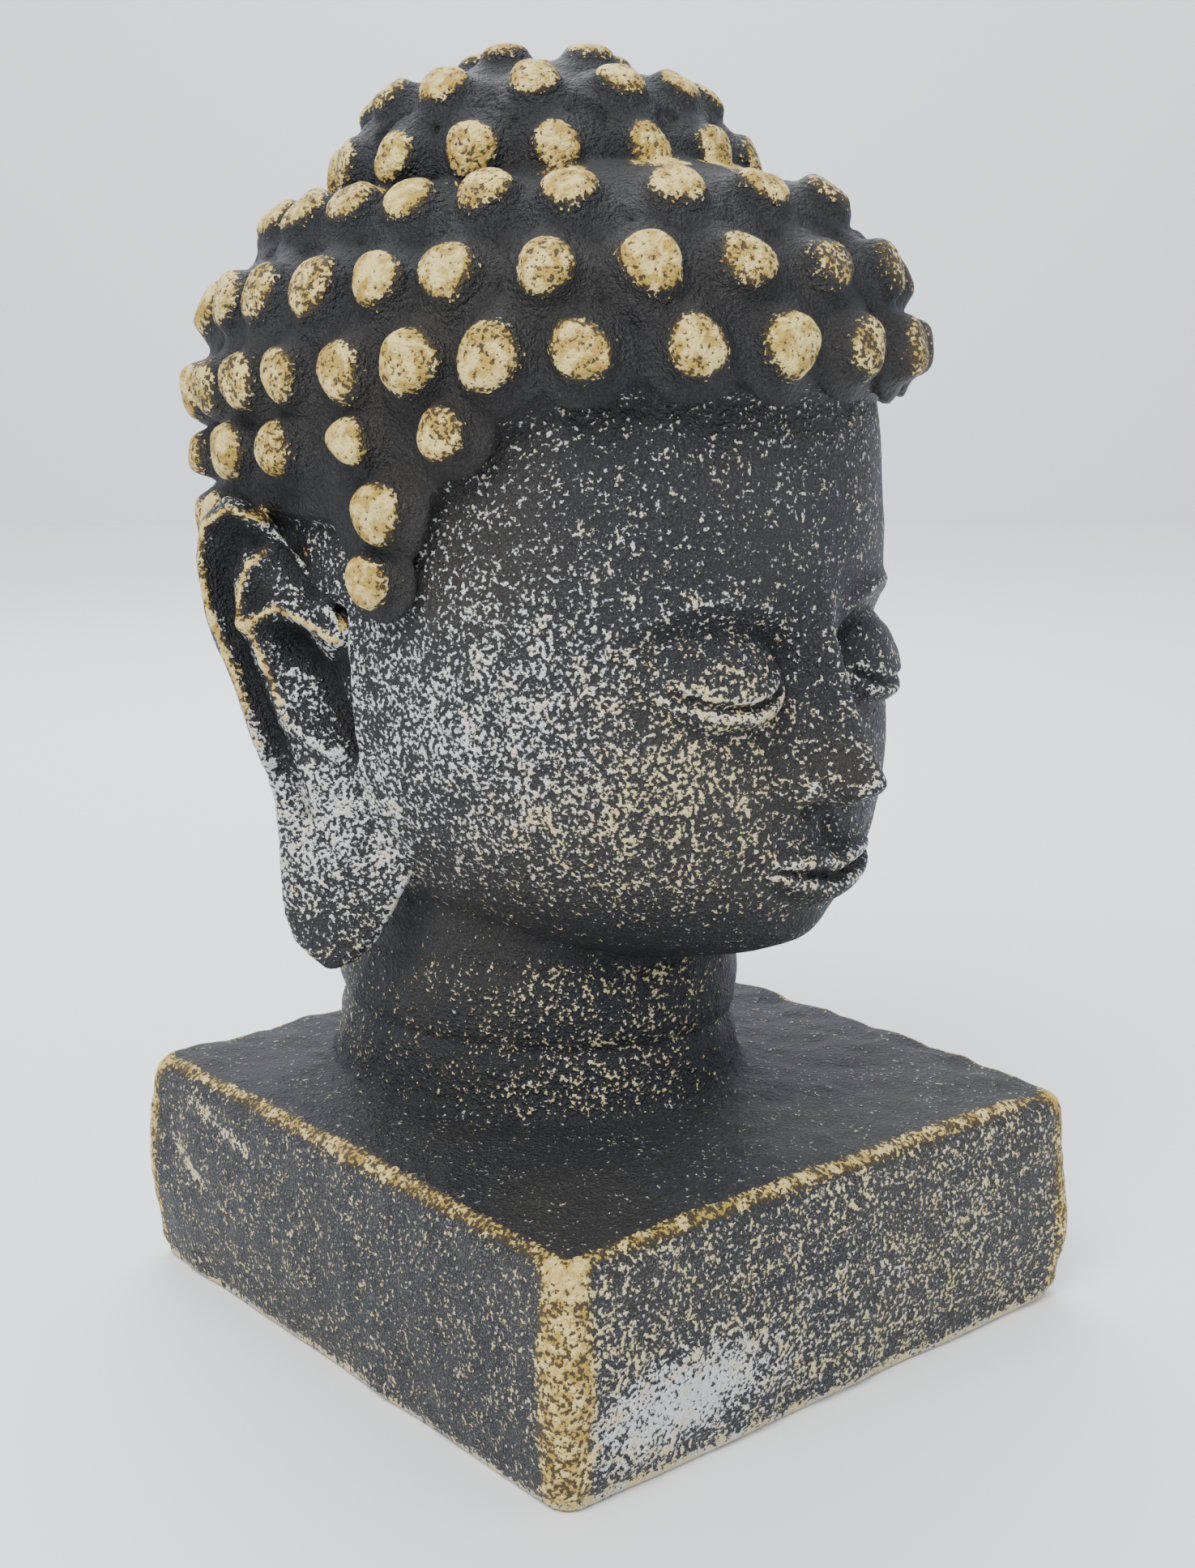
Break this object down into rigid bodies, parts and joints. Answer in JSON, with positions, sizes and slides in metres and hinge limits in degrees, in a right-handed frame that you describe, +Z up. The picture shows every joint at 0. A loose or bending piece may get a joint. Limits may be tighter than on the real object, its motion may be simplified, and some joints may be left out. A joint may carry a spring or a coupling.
{
  "type": "stone buddha head",
  "caption": "Cast stone head with rows of round curls, long ears and a calm face with lowered lids, on a short ringed neck and a low square plinth.",
  "frame": {"origin": "centre of the plinth's underside", "axes": "+Z up, -Y towards the plinth's front, +X towards the head's own left; the head is turned 7 degrees from -Y towards +X"},
  "size_m": [0.1707, 0.1957, 0.2989],
  "materials": {
    "stone": "rough dark cast stone with dry-brushed cream and gold on its high points"
  },
  "bodies": {
    "root": {"buddha_head": "stone"}
  },
  "joints": []
}
